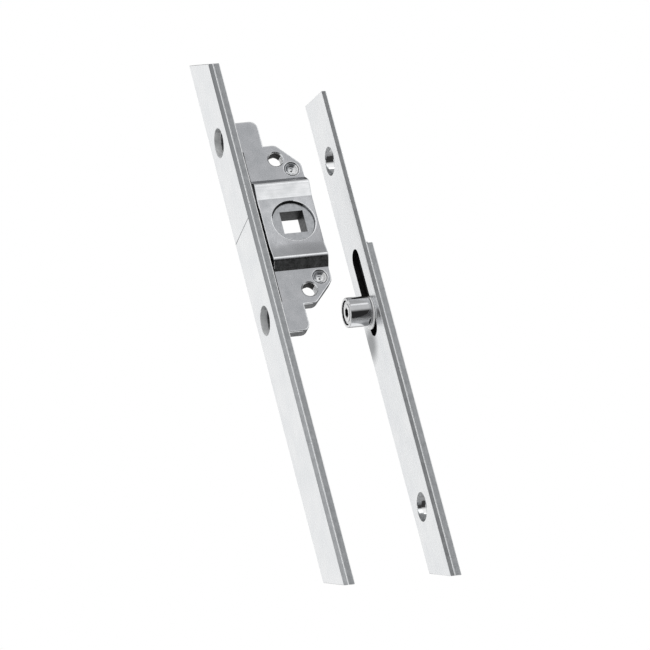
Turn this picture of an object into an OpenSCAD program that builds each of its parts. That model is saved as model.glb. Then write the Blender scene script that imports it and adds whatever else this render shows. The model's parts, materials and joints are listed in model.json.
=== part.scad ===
// Window espagnolette with a 90 degree gear case, shown as two short lengths:
// the gear length, and the locking length with its roller cam.
// +X is the handle side, +Y runs from the faceplates into the sash, +Z is up along the bars.
// The origin is on the spindle axis, in the middle of the gear case. Millimetres.

/* [Bars] */
// Width of the faceplates and drive rods
bar_w = 16; // [15:0.5:20]
// Thickness of a faceplate
plate_t = 1.5; // [1.3:0.1:1.8]
// Thickness of a drive rod
rod_t = 1.85; // [1.7:0.05:2]
// Running gap between a faceplate and its rod
slide_gap = 0.05; // [0.03:0.01:0.1]
// Reach of the gear length above the spindle axis
gear_above = 55.7; // [50:0.1:90]
// Reach of the gear length below the spindle axis
gear_below = 114.3; // [80:0.1:160]
// Slant of the sawn ends
cut_angle = 29; // [0:1:32]
// Width of the scribed centre mark on the gear faceplate
mark_w = 0.3; // [0.2:0.05:0.4]

/* [Spindle and handle screws] */
// Distance from the faceplate's front to the spindle axis
backset = 15; // [15:0.05:15.2]
// Square hole for the handle's spindle, across flats
spindle_af = 7.05; // [6:0.05:7.2]
// Distance between the two handle screws
handle_spacing = 43; // [43:0.5:45]
// Radius of the tapped handle screw holes, inside the thread
handle_hole_r = 2.1; // [1.6:0.05:2.2]
// Depth of the chamfer on the handle screw holes
hole_chamfer = 0.4; // [0.2:0.05:0.5]

/* [Gear] */
// Metal between the rack's tooth roots and its front, which sets the pinion's size
rack_foot = 1.45; // [1.3:0.05:1.6]
// Teeth on the whole pinion circle, of which a sector is cut
pinion_teeth = 14; // [13:1:15]
// Turn of the handle from one end of the travel to the other
turn_angle = 90; // [80:1:90]
// Height of a tooth outside the pitch line
addendum = 1.2; // [1.1:0.05:1.2]
// Depth of a tooth inside the pitch line
dedendum = 1.5; // [1.45:0.05:1.6]
// Play between the teeth along the pitch line
backlash = 0.12; // [0.08:0.01:0.2]
// Half the width of the rack and of the pinion's front side
gear_half_w = 2.3; // [2:0.05:2.5]
// Thickness of the spring washer beside the pinion
brake_t = 0.3; // [0.2:0.05:0.35]
// Width of the spring washer's horseshoe
brake_ring_w = 2.2; // [1.5:0.1:2.4]
// Half the width of the rack's flange on the rod
flange_half_w = 6; // [5.8:0.1:6.5]
// Thickness of the rack's flange
flange_t = 0.7; // [0.5:0.05:0.8]
// Radius of the rivets through the rack's flange
rack_rivet_r = 0.9; // [0.7:0.05:1]
// Radius of their heads
rack_head_r = 1.3; // [1.2:0.05:1.4]
// Height of the rack rivets' heads
rack_head_h = 0.45; // [0.3:0.05:0.5]

/* [Follower] */
// Radius of the follower's round journals
follower_r = 6.25; // [6:0.05:6.4]
// Depth of the follower's faces below the dome's flat
follower_recess = 0.8; // [0.4:0.05:0.9]
// Running clearance, on the radius
run_gap = 0.05; // [0.03:0.01:0.08]

/* [Gear case] */
// Thickness of one shell's wings
wing_t = 1.7; // [1.5:0.05:2]
// Metal behind the follower's bore
case_rim = 1; // [0.8:0.05:2]
// Metal above a handle screw hole, up to the wings' end
screw_rim = 2.55; // [2.2:0.05:3]
// Depth of the wings' slanting corners
corner_run = 6.4; // [5.4:0.1:6.6]
// Reach of the wings' straight rear edge past the case rivets
corner_past_rivet = 1.55; // [1.2:0.05:2]
// Distance from the spindle axis forward to the end tabs' rear edge
tab_rear = 2.75; // [2.6:0.05:4]
// Reach of the end tabs past the cups' centres
tab_reach = 5.25; // [4.6:0.05:6]
// Corner radius of the end tabs
tab_corner_r = 2.4; // [1:0.1:2.8]
// Corner radius of the slanting corners
wing_corner_r = 2.5; // [0.5:0.1:3]
// Clearance round the pinion's tips in the case
tip_gap = 0.4; // [0.3:0.05:0.5]
// Reach of the dome's ridges past that clearance
ridge_past_gear = 0.3; // [0.2:0.05:0.5]
// Height of the ridges over the dome's flat
ridge_rise = 1.15; // [0.9:0.05:1.4]
// Rounding of the ridges
ridge_r = 1.3; // [0.6:0.1:1.5]
// Run of the dome's end walls from the ridges to the foot
foot_run = 2.5; // [2.2:0.05:3]
// Metal between the follower's bore and the end of the dome's flat
flat_rim = 1.4; // [1.1:0.05:1.6]
// Reach of the dome's walls past the tips of the rack's teeth
dome_overlap = 0.2; // [0.1:0.05:0.4]
// Thickness of the shells over the gear, in the dome's flat
shell_wall = 1.2; // [1:0.05:1.4]
// Distance of the case rivets in front of the wings' rear edge
rivet_inset = 3.3; // [3:0.05:3.6]
// Distance of the case rivets past the dome's foot
rivet_past_dome = 2.95; // [2.8:0.05:3.2]
// Radius of the case rivets
rivet_r = 1.25; // [1:0.05:1.4]
// Radius of the case rivets' sunk heads
rivet_head_r = 2.2; // [1.8:0.05:2.3]
// Depth of the sunk heads' cone
rivet_cone_h = 0.7; // [0.5:0.05:0.9]
// Depth of the heads below the shell's face
rivet_sunk = 0.25; // [0.15:0.05:0.4]

/* [Studs and bushes] */
// Radius of the faceplates' round holes
cup_r = 4.38; // [4.2:0.02:4.5]
// Wall of the cups that are staked into those holes
cup_wall = 0.4; // [0.3:0.02:0.6]
// Depth of a cup, measured from the faceplate's front
cup_depth = 2.4; // [2.2:0.05:2.6]
// Distance from the rack's lower end to the cup below it, as the bars stand here
stud_gap = 1.46; // [1.4:0.02:2]
// Width along the bar of the case's tenons
tenon_w = 4.2; // [3.5:0.1:4.6]
// Distance from the roller up to the upper screw bush
bush_above = 49.6; // [46:0.1:70]
// Distance from the roller down to the lower screw bush
bush_below = 63.8; // [56:0.1:90]
// Radius of the screw hole through a bush
screw_r = 3.5; // [3:0.05:3.7]
// Thickness of a bush's floor
bush_floor_t = 0.55; // [0.5:0.05:1]
// Width of the retaining washer's ring
keeper_ring_w = 2.3; // [2:0.1:3]
// Thickness of the retaining washer
keeper_t = 0.5; // [0.4:0.05:1]
// Reach of the rod's slot below the lower bush
bush_slot_below = 30; // [23:0.5:40]

/* [Locking length] */
// Distance between the two lengths, faceplate to faceplate
length_spacing = 31.6; // [31:0.1:60]
// Reach of the locking length past its upper bush
lock_above = 21; // [12:0.1:40]
// Reach of the locking length past its lower bush
lock_below = 21.8; // [12:0.1:40]
// Slant of the locking length's finished top end
end_angle = 14.7; // [0:0.1:20]
// Distance from the roller's axis up to the drive rod's top end
rod_over_cam = 17.8; // [12:0.1:22]
// Half the width of the tongue on that end, which takes the connecting rod
tongue_half_w = 4; // [2:0.1:5]
// Height of that tongue
tongue_h = 2.4; // [2:0.1:4]
// Clearance of the pin at the sides of its slot
slot_side_gap = 0.18; // [0.12:0.02:0.3]
// Spare length of the slot past the pin's upper end of travel
slot_past_pin = 0.97; // [0.5:0.05:2]
// Spare length of the slot below the pin
slot_below_pin = 3.97; // [1:0.05:6]

/* [Roller cam] */
// Depth of the roller's axis below the spindle axis
cam_drop = 29.5; // [28:0.1:34]
// Offset of the roller's axis from the pin's own axis
eccentric = 0.8; // [0.4:0.05:1]
// Wall of the roller round its recess
roller_rim = 0.76; // [0.6:0.02:1]
// Distance from the faceplate to the roller's front
roller_reach = 7.14; // [6.5:0.02:8.5]
// Radius of the pin's journal inside the roller
journal_r = 2.6; // [2.4:0.05:2.8]
// Radius of the pin's shank through the slot
shank_r = 3; // [2.9:0.02:3.05]
// Thickness of the washer between roller and faceplate
collar_t = 0.35; // [0.25:0.05:0.5]
// Reach of that washer past the pin's shank
collar_reach = 1.75; // [1.4:0.05:2]
// Depth of the recess in the roller's front
recess_depth = 0.85; // [0.8:0.05:1.4]
// Depth of the pin's end below the roller's front
pin_sunk = 0.2; // [0.15:0.05:0.3]
// Hexagon socket in the pin, across flats
socket_af = 2.6; // [2:0.1:2.8]
// Depth of the hexagon socket
socket_depth = 3; // [2:0.1:4]
// Thickness of the retaining ring on the pin
ring_t = 0.4; // [0.3:0.05:0.45]
// Depth of the retaining ring's groove
ring_groove = 0.4; // [0.3:0.05:0.5]
// Reach of the retaining ring outside the journal
ring_reach = 0.75; // [0.5:0.05:0.9]
// Wall of the bush that carries the pin in the drive rod
cam_bush_wall = 1.1; // [0.8:0.05:1.3]
// Height of that bush behind the drive rod
cam_bush_h = 0.3; // [0.2:0.05:1]
// Thickness of the spring washer on the pin
wave_t = 0.25; // [0.2:0.05:0.4]
// Thickness of the pin's rear flange
pin_flange_t = 0.6; // [0.5:0.05:1]
// Reach of the pin's rear flange past the shank
pin_flange_reach = 1.4; // [1.2:0.05:1.8]

/* [Hidden] */
$fn = 72;

// Gap that keeps two seated pieces of one body apart
seat = 0.01;
// Overrun of a cut past the face that it opens
over = 1;
// Gap between the case and the rod that slides in front of it
case_gap = 0.1;
// Steps in the round corners and involute flanks that are drawn as outlines
corner_steps = 8;
flank_steps = 7;

// The pinion reaches from the spindle to the rack, so its module follows from its teeth
pitch_r = backset - plate_t - slide_gap - rack_foot - dedendum;
tooth_pitch = 2 * PI * pitch_r / pinion_teeth;
tooth_step = 360 / pinion_teeth;
pressure_angle = 20;
sector_teeth = ceil(turn_angle / tooth_step) + 1;
base_r = pitch_r * cos(pressure_angle);
tip_r = pitch_r + addendum;
root_r = pitch_r - dedendum;
tooth_w = tooth_pitch / 2 - backlash / 2;
stroke = pitch_r * turn_angle * PI / 180;

// Depths of the gear length's layers, from the faceplate's front backwards
face_y = -backset;
plate_back = face_y + plate_t;
rod_front = plate_back + slide_gap;
rod_back = rod_front + rod_t;
tab_front = rod_back + case_gap;

// The rack: gaps at whole pitches from the spindle's height, teeth between them
rack_tip_y = -(pitch_r - addendum);
rack_root_y = -(pitch_r + dedendum);
rack_teeth = ceil(stroke / tooth_pitch) + 2;
rack_top = tooth_pitch * 1.25;
rack_bottom = rack_top - (rack_teeth + 0.25) * tooth_pitch;
rack_rivet_inset = 3;
flange_end = 0.6;
rack_rivet_x = (gear_half_w + flange_half_w) / 2;

// The case, across: the pinion, the cavity, the flat and the ridges
cavity_half_w = gear_half_w + case_gap;
gear_back_w = gear_half_w - brake_t - run_gap;
flat_x = cavity_half_w + shell_wall;
ridge_x = flat_x + ridge_rise;
follower_half_w = flat_x - follower_recess;

// The case, along the bars and in depth
journal_bore_r = follower_r + run_gap;
hub_r = follower_r - run_gap;
cavity_r = tip_r + tip_gap;
cavity_rear = journal_bore_r - 1.5;
flat_half_h = journal_bore_r + flat_rim;
ridge_z = cavity_r + ridge_past_gear;
dome_half_h = ridge_z + foot_run;
dome_front = -rack_tip_y + dome_overlap;
wing_front = rack_tip_y + 2 * case_gap;
wing_rear = journal_bore_r + case_rim;
rivet_y = wing_rear - rivet_inset;
rivet_z = dome_half_h + rivet_past_dome;
wing_corner_z = rivet_z + corner_past_rivet;
wing_corner_y = wing_rear - corner_run;
wing_half_h = handle_spacing / 2 + handle_hole_r + screw_rim;
stud_z = -rack_bottom + stud_gap + cup_r;
tab_start_z = stud_z - cup_r - 2 * case_gap;
tab_half_h = stud_z + tab_reach;

// Slots in the rods, long enough for the travel past a cup
slot_half_w = cup_r + 0.1;

// The locking length's layers
lock_face_y = face_y + length_spacing;
lock_plate_back = lock_face_y + plate_t;
lock_rod_front = lock_plate_back + slide_gap;
lock_rod_back = lock_rod_front + rod_t;
cam_z = -cam_drop;
pin_z = cam_z - eccentric;
upper_bush_z = cam_z + bush_above;
lower_bush_z = cam_z - bush_below;
slot_half_cam = shank_r + slot_side_gap;

// The cam's radii, from the journal outwards, and its stack along the pin
recess_r = journal_r + ring_reach + 0.25;
roller_r = recess_r + roller_rim;
collar_r = shank_r + collar_reach;
pin_flange_r = shank_r + pin_flange_reach;
roller_front = lock_face_y - roller_reach;
collar_back = lock_face_y - run_gap;
collar_front = collar_back - collar_t;
roller_back = collar_front - run_gap;
ring_back = roller_front + recess_depth - run_gap;
ring_front = ring_back - ring_t;
pin_front = roller_front + pin_sunk;
cam_bush_back = lock_rod_back + cam_bush_h;
wave_front = cam_bush_back + run_gap;
wave_back = wave_front + wave_t;
pin_flange_front = wave_back + seat;
cam_bush_r = shank_r + run_gap + cam_bush_wall;

// An outline in Y and Z, thickened along X
module yz_plate(x0, x1) translate([x0, 0, 0]) rotate([90, 0, 90]) linear_extrude(x1 - x0) children();

// An outline in X and Z, thickened along Y
module xz_plate(y0, y1) translate([0, y1, 0]) rotate([90, 0, 0]) linear_extrude(y1 - y0) children();

// A round bar or hole along Y, at a height and a sideways place
module round_y(y0, y1, r, z, x = 0, r_back = undef)
    translate([x, y1, z]) rotate([90, 0, 0])
        cylinder(h = y1 - y0, r1 = is_undef(r_back) ? r : r_back, r2 = r);

// A round bar or hole along X, at a place in Y and Z
module round_x(x0, x1, r, y, z, r_end = undef)
    translate([x0, y, z]) rotate([0, 90, 0])
        cylinder(h = x1 - x0, r1 = r, r2 = is_undef(r_end) ? r : r_end);

// A straight slot with round ends, along Z
module slot(y0, y1, half_w, z0, z1) {
    translate([-half_w, y0, z0 + half_w]) cube([2 * half_w, y1 - y0, z1 - z0 - 2 * half_w]);
    for (z = [z0 + half_w, z1 - half_w]) round_y(y0, y1, half_w, z);
}

// A flat bar whose ends slant across its width
module flat_bar(y0, y1, z0, z1, low_angle, high_angle) {
    half = bar_w / 2;
    low = half * tan(low_angle);
    high = half * tan(high_angle);
    xz_plate(y0, y1)
        polygon([[-half, z0 + low], [half, z0 - low], [half, z1 - high], [-half, z1 + high]]);
}

// The points of an outline whose corners are [a, b, radius]
function unit(v) = v / norm(v);
function corner(before, here, after, r) =
    let (
        u = unit([before[0] - here[0], before[1] - here[1]]),
        v = unit([after[0] - here[0], after[1] - here[1]]),
        half = acos(u * v) / 2,
        middle = [here[0], here[1]] + unit(u + v) * r / sin(half),
        start = [here[0], here[1]] + u * r / tan(half) - middle,
        turn = sign(u[0] * v[1] - u[1] * v[0]) * -(180 - 2 * half)
    )
    [for (i = [0 : corner_steps])
        let (a = turn * i / corner_steps)
        middle + [start[0] * cos(a) - start[1] * sin(a), start[0] * sin(a) + start[1] * cos(a)]];
function rounded(points) =
    let (n = len(points))
    [for (i = [0 : n - 1])
        let (here = points[i])
        each here[2] > 0
            ? corner(points[(i + n - 1) % n], here, points[(i + 1) % n], here[2])
            : [[here[0], here[1]]]];

// A point of the pinion, at a radius and at an angle from the faceplate's side upwards
function polar(r, a) = [-r * cos(a), r * sin(a)];
function involute(a) = tan(a) * 180 / PI - a;
// Half the angle that a tooth fills at a radius
function tooth_half(r) =
    tooth_w / pitch_r * 90 / PI + involute(pressure_angle) - involute(acos(min(1, base_r / r)));
function flank(side) =
    [for (i = [0 : flank_steps])
        let (r = base_r + (tip_r - base_r) * i / flank_steps) [r, side * tooth_half(r)]];

module pinion_tooth(middle) {
    low = flank(-1);
    high = flank(1);
    inner = root_r - 0.5;
    polygon([
        polar(inner, middle + low[0][1]),
        for (p = low) polar(p[0], middle + p[1]),
        for (i = [flank_steps : -1 : 0]) polar(high[i][0], middle + high[i][1]),
        polar(inner, middle + high[0][1])
    ]);
}

module pinion_outline() {
    sweep = (sector_teeth - 1) * tooth_step;
    edge = tooth_half(base_r);
    circle(r = hub_r);
    polygon([
        [0, 0],
        for (i = [0 : 4 * corner_steps])
            polar(root_r, edge - (sweep + 2 * edge) * i / (4 * corner_steps))
    ]);
    for (k = [0 : sector_teeth - 1]) pinion_tooth(-k * tooth_step);
}

module rack_tooth(z) {
    slope = tan(pressure_angle);
    root_half = tooth_w / 2 + dedendum * slope;
    tip_half = tooth_w / 2 - addendum * slope;
    polygon([
        [rack_root_y - 0.2, z - root_half], [rack_root_y, z - root_half], [rack_tip_y, z - tip_half],
        [rack_tip_y, z + tip_half], [rack_root_y, z + root_half], [rack_root_y - 0.2, z + root_half]
    ]);
}

// The staked cups that show in the faceplates' round holes
module cup(face, back, z) {
    difference() {
        round_y(face, back, cup_r - seat, z);
        round_y(face - over, face + cup_depth, cup_r - cup_wall, z);
    }
}

// The slot that lets a rod rise past a cup
module travel_slot(y0, y1, z)
    slot(y0 - over, y1 + over, slot_half_w, z - stroke - slot_half_w, z + slot_half_w);

module rack_rivet_places()
    for (x = [-rack_rivet_x, rack_rivet_x], z = [rack_bottom + rack_rivet_inset, rack_top - rack_rivet_inset])
        translate([x, 0, z]) children();

module faceplate_gear_length() {
    color("gainsboro") difference() {
        flat_bar(face_y, plate_back, -gear_below, gear_above, cut_angle, cut_angle);
        for (z = [-stud_z, stud_z]) round_y(face_y - over, plate_back + over, cup_r, z);
        translate([0, face_y, 0]) rotate([45, 0, 0])
            cube([bar_w + 2 * over, mark_w / sqrt(2), mark_w / sqrt(2)], center = true);
    }
}

module drive_rod_gear_length() {
    window_half = gear_half_w + seat;
    color("silver") difference() {
        flat_bar(rod_front, rod_back, -gear_below, gear_above, cut_angle, cut_angle);
        for (z = [-stud_z, stud_z]) travel_slot(rod_front, rod_back, z);
        translate([-window_half, rod_front - over, rack_bottom - seat])
            cube([2 * window_half, rod_t + 2 * over, rack_top - rack_bottom + 2 * seat]);
        rack_rivet_places() round_y(rod_front - over, rod_back + over, rack_rivet_r + seat, 0);
    }
}

module rack() {
    color("darkgray") difference() {
        union() {
            yz_plate(-gear_half_w, gear_half_w) {
                translate([rod_front, rack_bottom])
                    square([rack_root_y - rod_front, rack_top - rack_bottom]);
                for (k = [0 : rack_teeth - 1]) rack_tooth(tooth_pitch * (0.5 - k));
            }
            difference() {
                translate([-flange_half_w, rod_back, rack_bottom])
                    cube([2 * flange_half_w, flange_t, rack_top - rack_bottom]);
                translate([-gear_half_w, rod_back - over, rack_bottom + flange_end])
                    cube([2 * gear_half_w, flange_t + 2 * over, rack_top - rack_bottom - 2 * flange_end]);
            }
        }
        rack_rivet_places() round_y(rod_back - over, rod_back + flange_t + over, rack_rivet_r + seat, 0);
    }
}

module rack_rivets() {
    color("lightgray") rack_rivet_places() {
        round_y(rod_front + slide_gap, rod_back + flange_t + seat, rack_rivet_r, 0);
        round_y(rod_back + flange_t + seat, rod_back + flange_t + rack_head_h, rack_head_r, 0);
    }
}

// Outline of a shell's wings and end tabs, with Y to the right and Z up
module wing_outline() {
    upper = [
        [tab_front, tab_half_h, 0],
        [-tab_rear, tab_half_h, tab_corner_r],
        [-tab_rear, wing_half_h, 0],
        [wing_corner_y, wing_half_h, wing_corner_r],
        [wing_rear, wing_corner_z, wing_corner_r],
    ];
    front = [
        [wing_front, -tab_start_z, 0], [wing_front, -dome_half_h, 0],
        [-dome_front, -dome_half_h, 0], [-dome_front, dome_half_h, 0],
        [wing_front, dome_half_h, 0], [wing_front, tab_start_z, 0]
    ];
    lower = [for (i = [len(upper) - 1 : -1 : 0]) [upper[i][0], -upper[i][1], upper[i][2]]];
    polygon(rounded(concat(
        upper, lower,
        [[tab_front, -tab_start_z, 0]], front, [[tab_front, tab_start_z, 0]]
    )));
}

// Half of the raised dome, in X and Z: foot, ridge, shoulder and flat
module dome_outline() {
    half = [
        [0, dome_half_h, 0], [wing_t, dome_half_h, 0], [ridge_x, ridge_z, ridge_r], [flat_x, flat_half_h, 0]
    ];
    lower = [for (i = [len(half) - 1 : -1 : 0]) [half[i][0], -half[i][1], half[i][2]]];
    polygon(rounded(concat(half, lower)));
}

module case_shell() {
    screw_z = handle_spacing / 2;
    difference() {
        union() {
            yz_plate(0, wing_t) wing_outline();
            xz_plate(-dome_front, wing_rear) dome_outline();
            for (side = [-1, 1])
                translate([0, tab_front - cup_tenon, side * stud_z - tenon_w / 2])
                    cube([wing_t, cup_tenon + over, tenon_w]);
        }
        yz_plate(-over, cavity_half_w) {
            intersection() {
                circle(r = cavity_r);
                translate([-2 * cavity_r, -cavity_r]) square([2 * cavity_r + cavity_rear, 2 * cavity_r]);
            }
            circle(r = journal_bore_r);
            // Way for the rack's teeth, between the dome's walls
            translate([-dome_front - over, -dome_half_h - over])
                square([dome_front + over + wing_front, 2 * (dome_half_h + over)]);
        }
        round_x(0, ridge_x + over, journal_bore_r, 0, 0);
        for (z = [-screw_z, screw_z]) {
            round_x(-over, wing_t + over, handle_hole_r, 0, z);
            round_x(wing_t - hole_chamfer, wing_t + seat, handle_hole_r, 0, z, handle_hole_r + hole_chamfer);
        }
        for (z = [-rivet_z, rivet_z]) {
            round_x(-over, wing_t + over, rivet_r + seat, rivet_y, z);
            round_x(wing_t - rivet_sunk - rivet_cone_h, wing_t - rivet_sunk, rivet_r + seat, rivet_y, z,
                rivet_head_r + seat);
            round_x(wing_t - rivet_sunk, wing_t + over, rivet_head_r + seat, rivet_y, z);
        }
    }
}

// Depth of the case's tenons inside the cups, from the cup's rear face
cup_tenon = tab_front - (face_y + cup_depth) - 0.3;

module case_shell_front() {
    color("darkgray") translate([seat / 2, 0, 0]) case_shell();
}

module case_shell_back() {
    color("gray") mirror([1, 0, 0]) translate([seat / 2, 0, 0]) case_shell();
}

module case_rivets() {
    head_top = wing_t - rivet_sunk;
    dimple_r = 0.8;
    color("lightgray") for (z = [-rivet_z, rivet_z]) difference() {
        union() {
            round_x(-head_top, head_top, rivet_r, rivet_y, z);
            for (side = [0, 1]) mirror([side, 0, 0])
                round_x(head_top - rivet_cone_h, head_top, rivet_r, rivet_y, z, rivet_head_r);
        }
        for (side = [-1, 1]) translate([side * (head_top + dimple_r * 0.6), rivet_y, z]) sphere(r = dimple_r);
    }
}

module case_studs() {
    color("lightgray") for (z = [-stud_z, stud_z]) difference() {
        cup(face_y, tab_front - seat, z);
        translate([-wing_t - 2 * seat, face_y + cup_depth - over, z - tenon_w / 2 - seat])
            cube([2 * wing_t + 4 * seat, backset, tenon_w + 2 * seat]);
    }
}

module follower_pinion() {
    color("silver") difference() {
        union() {
            yz_plate(-gear_back_w, gear_half_w) pinion_outline();
            round_x(-follower_half_w, follower_half_w, follower_r, 0, 0);
        }
        cube([2 * (follower_half_w + over), spindle_af, spindle_af], center = true);
    }
}

// A horseshoe round the journal, whose two ends stand against the cavity's rear wall
module follower_spring_washer() {
    gap = (cavity_half_w - gear_back_w - brake_t) / 2;
    outer = journal_bore_r + brake_ring_w;
    color("lightgray") difference() {
        round_x(-gear_back_w - gap - brake_t, -gear_back_w - gap, outer, 0, 0);
        round_x(-cavity_half_w, 0, journal_bore_r, 0, 0);
        translate([-cavity_half_w, cavity_rear - seat, -outer]) cube([cavity_half_w, outer, 2 * outer]);
    }
}

module faceplate_locking_length() {
    color("gainsboro") difference() {
        flat_bar(lock_face_y, lock_plate_back, lower_bush_z - lock_below, upper_bush_z + lock_above,
            cut_angle, end_angle);
        for (z = [lower_bush_z, upper_bush_z]) round_y(lock_face_y - over, lock_plate_back + over, cup_r, z);
        slot(lock_face_y - over, lock_plate_back + over, slot_half_cam,
            pin_z - slot_half_cam - slot_below_pin, pin_z + stroke + slot_half_cam + slot_past_pin);
    }
}

module drive_rod_locking_length() {
    top = cam_z + rod_over_cam;
    color("silver") difference() {
        union() {
            flat_bar(lock_rod_front, lock_rod_back, lower_bush_z - lock_below, top, cut_angle, 0);
            translate([-tongue_half_w, lock_rod_front, top - over])
                cube([2 * tongue_half_w, rod_t, tongue_h + over]);
        }
        slot(lock_rod_front - over, lock_rod_back + over, slot_half_w,
            lower_bush_z - bush_slot_below, lower_bush_z + slot_half_w);
        round_y(lock_rod_front - over, lock_rod_back + over, cam_bush_r, pin_z);
    }
}

// A screw bush: a cup with a chamfered ledge for the head of the screw
module screw_bush(z) {
    cone_h = bush_floor_t * 0.4;
    floor_y = lock_face_y + cup_depth;
    difference() {
        cup(lock_face_y, floor_y + bush_floor_t, z);
        round_y(lock_face_y - over, floor_y + bush_floor_t + over, screw_r, z);
        round_y(floor_y - seat, floor_y + cone_h, screw_r + cone_h, z, 0, screw_r);
    }
}

module upper_screw_bush() {
    color("lightgray") screw_bush(upper_bush_z);
}

// The lower bush passes through the rod's slot and has a neck for the retaining washer
module lower_screw_bush() {
    neck_back = lock_rod_back + case_gap + keeper_t;
    color("lightgray") {
        screw_bush(lower_bush_z);
        difference() {
            round_y(lock_face_y + cup_depth + bush_floor_t, neck_back, cup_r - cup_wall, lower_bush_z);
            round_y(lock_face_y, neck_back + over, screw_r, lower_bush_z);
        }
    }
}

module rod_retaining_washer() {
    inner = cup_r - cup_wall + seat;
    color("darkgray") difference() {
        round_y(lock_rod_back + case_gap, lock_rod_back + case_gap + keeper_t, inner + keeper_ring_w, lower_bush_z);
        round_y(lock_rod_back, lock_rod_back + keeper_t + over, inner, lower_bush_z);
    }
}

module cam_bush() {
    color("lightgray") difference() {
        union() {
            round_y(lock_rod_front, lock_rod_back + seat, cam_bush_r - seat, pin_z);
            round_y(lock_rod_back + seat, cam_bush_back, cam_bush_r + 0.6, pin_z);
        }
        round_y(lock_rod_front - over, cam_bush_back + over, shank_r + run_gap, pin_z);
    }
}

module cam_pin() {
    color("silver") difference() {
        union() {
            round_y(collar_front - seat, pin_flange_front + pin_flange_t, shank_r, pin_z);
            round_y(pin_flange_front, pin_flange_front + pin_flange_t, pin_flange_r, pin_z);
            round_y(pin_front, collar_front, journal_r, cam_z);
        }
        difference() {
            round_y(ring_front - seat, ring_back + seat, journal_r + over, cam_z);
            round_y(ring_front - over, ring_back + over, journal_r - ring_groove, cam_z);
        }
        translate([0, pin_front + socket_depth, cam_z]) rotate([90, 0, 0])
            cylinder(h = socket_depth + over, r = socket_af / sqrt(3), $fn = 6);
    }
}

module cam_spring_washer() {
    color("lightgray") difference() {
        round_y(wave_front, wave_back, pin_flange_r - 0.2, pin_z);
        round_y(wave_front - over, wave_back + over, shank_r + seat, pin_z);
    }
}

module cam_washer() {
    color("gainsboro") difference() {
        round_y(collar_front, collar_back, collar_r, pin_z);
        round_y(collar_front - over, collar_back + over, shank_r + seat, pin_z);
    }
}

module cam_roller() {
    color("silver") difference() {
        round_y(roller_front, roller_back, roller_r, cam_z);
        round_y(roller_front - over, roller_back + over, journal_r + run_gap, cam_z);
        round_y(roller_front - over, roller_front + recess_depth, recess_r, cam_z);
    }
}

module roller_retaining_ring() {
    color("dimgray") difference() {
        round_y(ring_front, ring_back, journal_r + ring_reach, cam_z);
        round_y(ring_front - over, ring_back + over, journal_r - ring_groove + seat, cam_z);
    }
}

faceplate_gear_length();
drive_rod_gear_length();
rack();
rack_rivets();
case_shell_front();
case_shell_back();
case_rivets();
case_studs();
follower_pinion();
follower_spring_washer();
faceplate_locking_length();
drive_rod_locking_length();
upper_screw_bush();
lower_screw_bush();
rod_retaining_washer();
cam_bush();
cam_pin();
cam_spring_washer();
cam_washer();
cam_roller();
roller_retaining_ring();
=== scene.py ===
import json
import math

import bmesh
import bpy
from mathutils import Matrix, Vector


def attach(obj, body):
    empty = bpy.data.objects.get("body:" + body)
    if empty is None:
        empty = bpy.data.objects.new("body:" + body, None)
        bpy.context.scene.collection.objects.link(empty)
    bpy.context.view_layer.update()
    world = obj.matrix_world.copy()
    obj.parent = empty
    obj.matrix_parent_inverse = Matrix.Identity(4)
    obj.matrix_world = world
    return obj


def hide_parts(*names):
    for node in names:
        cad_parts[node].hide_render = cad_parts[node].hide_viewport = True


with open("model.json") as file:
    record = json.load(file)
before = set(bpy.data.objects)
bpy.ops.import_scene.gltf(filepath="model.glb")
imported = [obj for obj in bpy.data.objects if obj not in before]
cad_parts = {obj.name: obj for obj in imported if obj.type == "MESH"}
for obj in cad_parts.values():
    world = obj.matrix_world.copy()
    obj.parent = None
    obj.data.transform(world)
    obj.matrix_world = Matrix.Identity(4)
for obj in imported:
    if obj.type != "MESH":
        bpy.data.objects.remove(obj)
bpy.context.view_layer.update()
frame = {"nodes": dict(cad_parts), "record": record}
nodes = frame["nodes"]
bodyOf = {name: body for body, names in frame["record"]["behaviour"]["bodies"].items() for name in names}
mm = 0.001


def toLinear(code):
    channels = [int(code[i:i + 2], 16) / 255 for i in (1, 3, 5)]
    return [c / 12.92 if c <= 0.04045 else ((c + 0.055) / 1.055) ** 2.4 for c in channels] + [1.0]


def addNode(tree, kind, inputs=None, **settings):
    node = tree.nodes.new(kind)
    for name, value in settings.items():
        setattr(node, name, value)
    for name, value in (inputs or {}).items():
        if isinstance(value, bpy.types.NodeSocket):
            tree.links.new(value, node.inputs[name])
        else:
            node.inputs[name].default_value = value
    return node


# Camera, solved from points of the photograph: it looks up at the part from the handle side
photoView = {
    "place": (1.94082, -0.71504, -1.01654),     # metres
    "right": (0.23266, 0.94496, -0.23004),
    "up": (0.47781, 0.09496, 0.87332),
    "back": (0.84709, -0.31310, -0.42942),
    "focal": 8000,          # in pixels of a picture of 650
    "picture": 650,
    "sensor": 36,           # in mm, as Blender gives the lens
    "clip": (0.1, 30),      # metres
}


def placeCamera(view):
    data = bpy.data.cameras.new("photoCamera")
    data.sensor_width = view["sensor"]
    data.lens = view["focal"] / view["picture"] * view["sensor"]
    data.clip_start, data.clip_end = view["clip"]
    cam = bpy.data.objects.new("photoCamera", data)
    turn = Matrix((view["right"], view["up"], view["back"])).transposed()
    cam.matrix_world = Matrix.Translation(view["place"]) @ turn.to_4x4()
    bpy.context.scene.collection.objects.link(cam)
    bpy.context.scene.camera = cam


placeCamera(photoView)
print("camera placed")


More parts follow.
